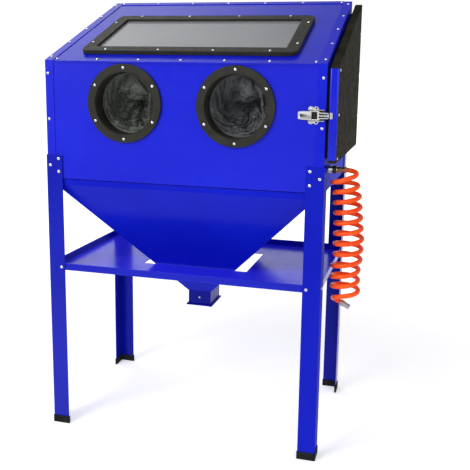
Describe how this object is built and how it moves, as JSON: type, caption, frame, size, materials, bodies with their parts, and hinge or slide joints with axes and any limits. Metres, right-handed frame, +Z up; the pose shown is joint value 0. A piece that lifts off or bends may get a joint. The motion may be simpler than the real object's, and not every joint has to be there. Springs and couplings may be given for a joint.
{
  "type": "sandblast cabinet",
  "caption": "Floor-standing sheet-steel abrasive blasting cabinet with a sloped window roof, glove ports, side door with toggle latch, hopper through a shelf, angle legs and a coiled air hose.",
  "frame": {"origin": "centre of the footprint's box, on the floor, measured without the hose", "axes": "+Z up, +X towards the side door, -Y the front with the glove ports"},
  "size_m": [0.976, 0.561, 1.3797],
  "materials": {
    "blue_coat": "gloss powder coat",
    "blue_coat_dark": "gloss powder coat",
    "black_coat": "satin textured powder coat",
    "black_trim": "satin moulded",
    "black_rubber": "matt",
    "clear_pane": "polished",
    "chrome_hardware": "polished",
    "zinc_screws": "zinc plated",
    "bare_steel": "satin",
    "brass_fitting": "machined",
    "orange_hose": "polyurethane, slightly glossy",
    "glove_rubber": "rubberised cloth",
    "lamp_glass": "frosted",
    "dark_alloy": "cast"
  },
  "bodies": {
    "cabinet": {"air_inlet_body": "bare_steel", "air_inlet_nut": "brass_fitting", "exhaust_port": "black_trim", "foot_front_left": "black_rubber", "foot_front_right": "black_rubber", "foot_rear_left": "black_rubber", "foot_rear_right": "black_rubber", "frame_bolts": "zinc_screws", "front_panel": "blue_coat", "gate_pivot_screw": "zinc_screws", "glove_collar_left": "black_trim", "glove_collar_right": "black_trim", "glove_left": "glove_rubber", "glove_right": "glove_rubber", "glove_ring_left": "black_trim", "glove_ring_right": "black_trim", "grate_rail_front": "bare_steel", "grate_rail_rear": "bare_steel", "gun_body": "dark_alloy", "gun_nozzle": "bare_steel", "hinge_leaves_body": "black_coat", "hinge_pins": "bare_steel", "hopper": "blue_coat_dark", "hopper_outlet": "blue_coat_dark", "hose_coil": "orange_hose", "hose_connector": "bare_steel", "hose_plug": "brass_fitting", "lamp_housing": "bare_steel", "lamp_tube": "lamp_glass", "latch_base": "chrome_hardware", "latch_pin": "chrome_hardware", "left_side_panel": "blue_coat", "leg_front_left": "blue_coat", "leg_front_right": "blue_coat", "leg_rear_left": "blue_coat", "leg_rear_right": "blue_coat", "panel_screws": "zinc_screws", "rear_panel": "blue_coat", "right_side_panel": "blue_coat", "ring_screws": "zinc_screws", "roof_panel": "blue_coat", "roof_screws": "zinc_screws", "shelf": "blue_coat", "window_frame": "black_trim", "window_gasket": "black_rubber", "window_glass": "clear_pane", "window_screws": "zinc_screws", "work_grate": "bare_steel"},
    "door": {"door_panel": "black_coat", "door_liner": "black_coat", "door_seal": "black_rubber", "door_edge_strip": "blue_coat", "door_screws": "zinc_screws", "hinge_leaves_door": "black_coat", "latch_keeper": "chrome_hardware"},
    "latch_handle": {"latch_lever": "chrome_hardware"},
    "latch_arm": {"latch_hook": "chrome_hardware"},
    "gate": {"outlet_gate": "blue_coat_dark"},
    "trigger": {"gun_trigger": "dark_alloy"},
    "sleeve": {"coupler_sleeve": "brass_fitting"}
  },
  "joints": [
    {"name": "door_hinge", "type": "hinge", "parent": "cabinet", "child": "door", "pos_m": [0.418, 0.2775, 1.135], "axis": [0, 0, 1], "range_deg": [0, 110]},
    {"name": "latch_lever_pivot", "type": "hinge", "parent": "cabinet", "child": "latch_handle", "pos_m": [0.383, -0.2725, 1.028], "axis": [0, 0, 1], "range_deg": [0, 120]},
    {"name": "latch_hook_pivot", "type": "hinge", "parent": "latch_handle", "child": "latch_arm", "pos_m": [0.373, -0.2765, 1.028], "axis": [0, 0, 1], "range_deg": [-150, 0]},
    {"name": "outlet_gate_swing", "type": "hinge", "parent": "cabinet", "child": "gate", "pos_m": [0.024, -0.0585, 0.3757], "axis": [0, 0, 1], "range_deg": [-100, 0]},
    {"name": "gun_trigger_pivot", "type": "hinge", "parent": "cabinet", "child": "trigger", "pos_m": [0.217, 0.1525, 0.8318], "axis": [0, 0, 1], "range_deg": [-14, 0], "stiffness_Nm_per_rad": 0.5, "springref_deg": 2.86},
    {"name": "coupler_sleeve_slide", "type": "slide", "parent": "cabinet", "child": "sleeve", "axis": [1, 0, 0], "range_m": [-0.004, 0], "stiffness_N_per_m": 400, "springref_m": 0.001}
  ],
  "couplings": [
    {"joint": "latch_hook_pivot", "follows": "latch_lever_pivot", "ratio": -1.25}
  ]
}
